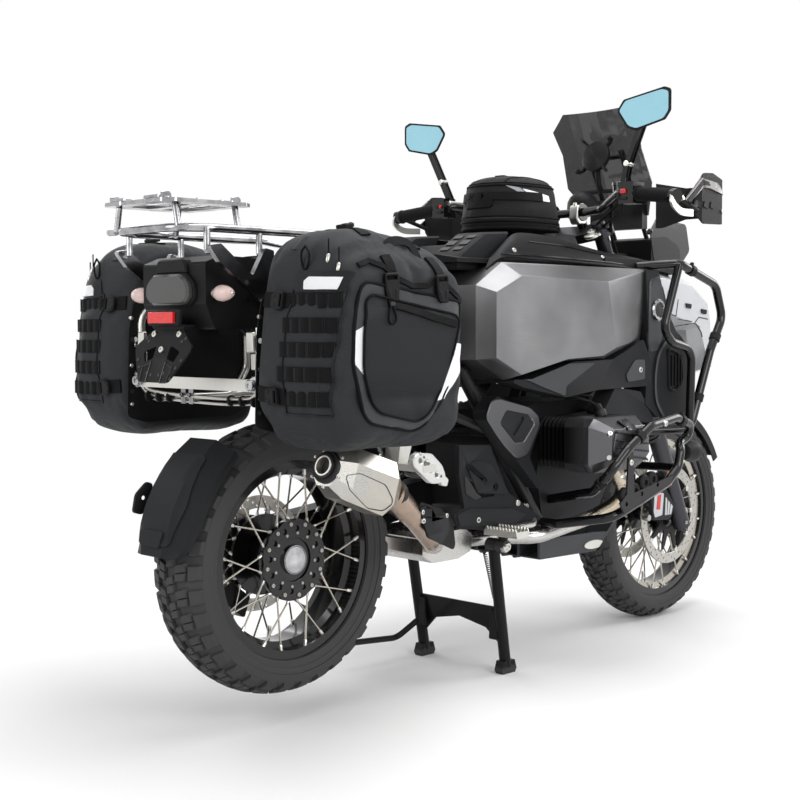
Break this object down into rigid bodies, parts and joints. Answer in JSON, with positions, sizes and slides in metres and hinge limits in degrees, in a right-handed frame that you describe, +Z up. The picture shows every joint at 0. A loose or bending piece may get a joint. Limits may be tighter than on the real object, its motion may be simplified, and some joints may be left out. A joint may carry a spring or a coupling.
{
  "type": "adventure motorcycle",
  "caption": "Large touring motorcycle on its centre stand, with boxer engine, wire wheels, crash bars, luggage rack, soft side bags and a tank bag.",
  "frame": {"origin": "centre of the footprint box at floor level, under the middle of the motorcycle's length and width", "axes": "+X forward along the motorcycle's length, +Y to the rider's left, +Z up"},
  "size_m": [2.251, 1.004, 1.541],
  "materials": {
    "frame_black": "satin black powder coat",
    "engine_grey": "dark grey painted casting",
    "cylinder_black": "black painted casting",
    "cover_grey": "dark grey painted casting",
    "plate_grey": "dark grey anodised sheet",
    "exhaust_steel": "heat-tinted polished tube",
    "silencer_steel": "brushed",
    "drive_black": "black painted casting",
    "shock_black": "gloss black spring",
    "tank_aluminium": "brushed",
    "cowl_black": "grained black",
    "cowl_grey": "satin dark grey",
    "beak_silver": "gloss pale silver",
    "screen": "smoked clear sheet",
    "stay_black": "satin black",
    "seat_cover": "textured black vinyl",
    "rack_silver": "polished",
    "lamp_red": "smoked lens",
    "lamp_clear": "clear lens",
    "bag_frame_silver": "satin",
    "bag_fabric": "coated fabric",
    "tank_bag_fabric": "woven black nylon",
    "guard_plastic": "matte dark grey",
    "peg_silver": "machined",
    "cover_plastic": "matte dark grey",
    "bar_black": "gloss black",
    "fork_black": "black anodised",
    "mirror_blue": "blue tinted glass in black frame",
    "tyre_rubber": "matte",
    "rim_black": "gloss black",
    "disc_steel": "ground"
  },
  "bodies": {
    "chassis": {"main_frame": "frame_black", "rear_subframe": "frame_black", "engine_block": "engine_grey", "cylinders": "cylinder_black", "valve_covers": "cover_grey", "skid_plate": "plate_grey", "exhaust": "exhaust_steel", "silencer": "silencer_steel", "heat_shield": "cover_plastic", "intake_covers": "cowl_black", "swingarm": "drive_black", "shocks": "shock_black", "front_arm": "drive_black", "fuel_tank": "tank_aluminium", "tank_cover": "cowl_black", "side_fairings": "cowl_grey", "beak": "beak_silver", "headlamp": "cowl_black", "windshield": "screen", "windshield_frame": "stay_black", "rider_seat": "seat_cover", "pillion_seat": "seat_cover", "luggage_rack": "rack_silver", "tail_unit": "cowl_black", "tail_lamp": "lamp_red", "indicators": "lamp_clear", "pannier_frame": "bag_frame_silver", "pannier_left": "bag_fabric", "pannier_right": "bag_fabric", "tank_bag": "tank_bag_fabric", "splash_guard": "guard_plastic", "foot_pegs": "peg_silver", "side_covers": "cover_plastic", "lower_crash_bars": "bar_black", "upper_crash_bars": "bar_black"},
    "steering": {"fork": "fork_black", "front_fender": "guard_plastic", "handlebar": "bar_black", "handguards": "guard_plastic", "mirrors": "mirror_blue"},
    "front_wheel": {"front_tyre": "tyre_rubber", "front_rim": "rim_black", "front_discs": "disc_steel"},
    "rear_wheel": {"rear_tyre": "tyre_rubber", "rear_rim": "rim_black", "rear_disc": "disc_steel"},
    "center_stand": {"center_stand": "frame_black"},
    "side_stand": {"side_stand": "frame_black"}
  },
  "joints": [
    {"name": "rear_wheel_spin", "type": "hinge", "parent": "chassis", "child": "rear_wheel", "pos_m": [-0.7335, 0, 0.3716], "axis": [0, 1, 0], "continuous": true},
    {"name": "steering_turn", "type": "hinge", "parent": "chassis", "child": "steering", "pos_m": [0.37027, 0, 1.11619], "axis": [-0.4415, 0, 0.8973], "range_deg": [-35, 35]},
    {"name": "front_wheel_spin", "type": "hinge", "parent": "steering", "child": "front_wheel", "pos_m": [0.8005, 0, 0.325], "axis": [0, 1, 0], "continuous": true},
    {"name": "center_stand_fold", "type": "hinge", "parent": "chassis", "child": "center_stand", "pos_m": [-0.1265, 0, 0.345], "axis": [0, 1, 0], "range_deg": [0, 75]},
    {"name": "side_stand_fold", "type": "hinge", "parent": "chassis", "child": "side_stand", "pos_m": [0.0285, 0.198, 0.296], "axis": [0, -1, 0], "range_deg": [0, 95]}
  ]
}
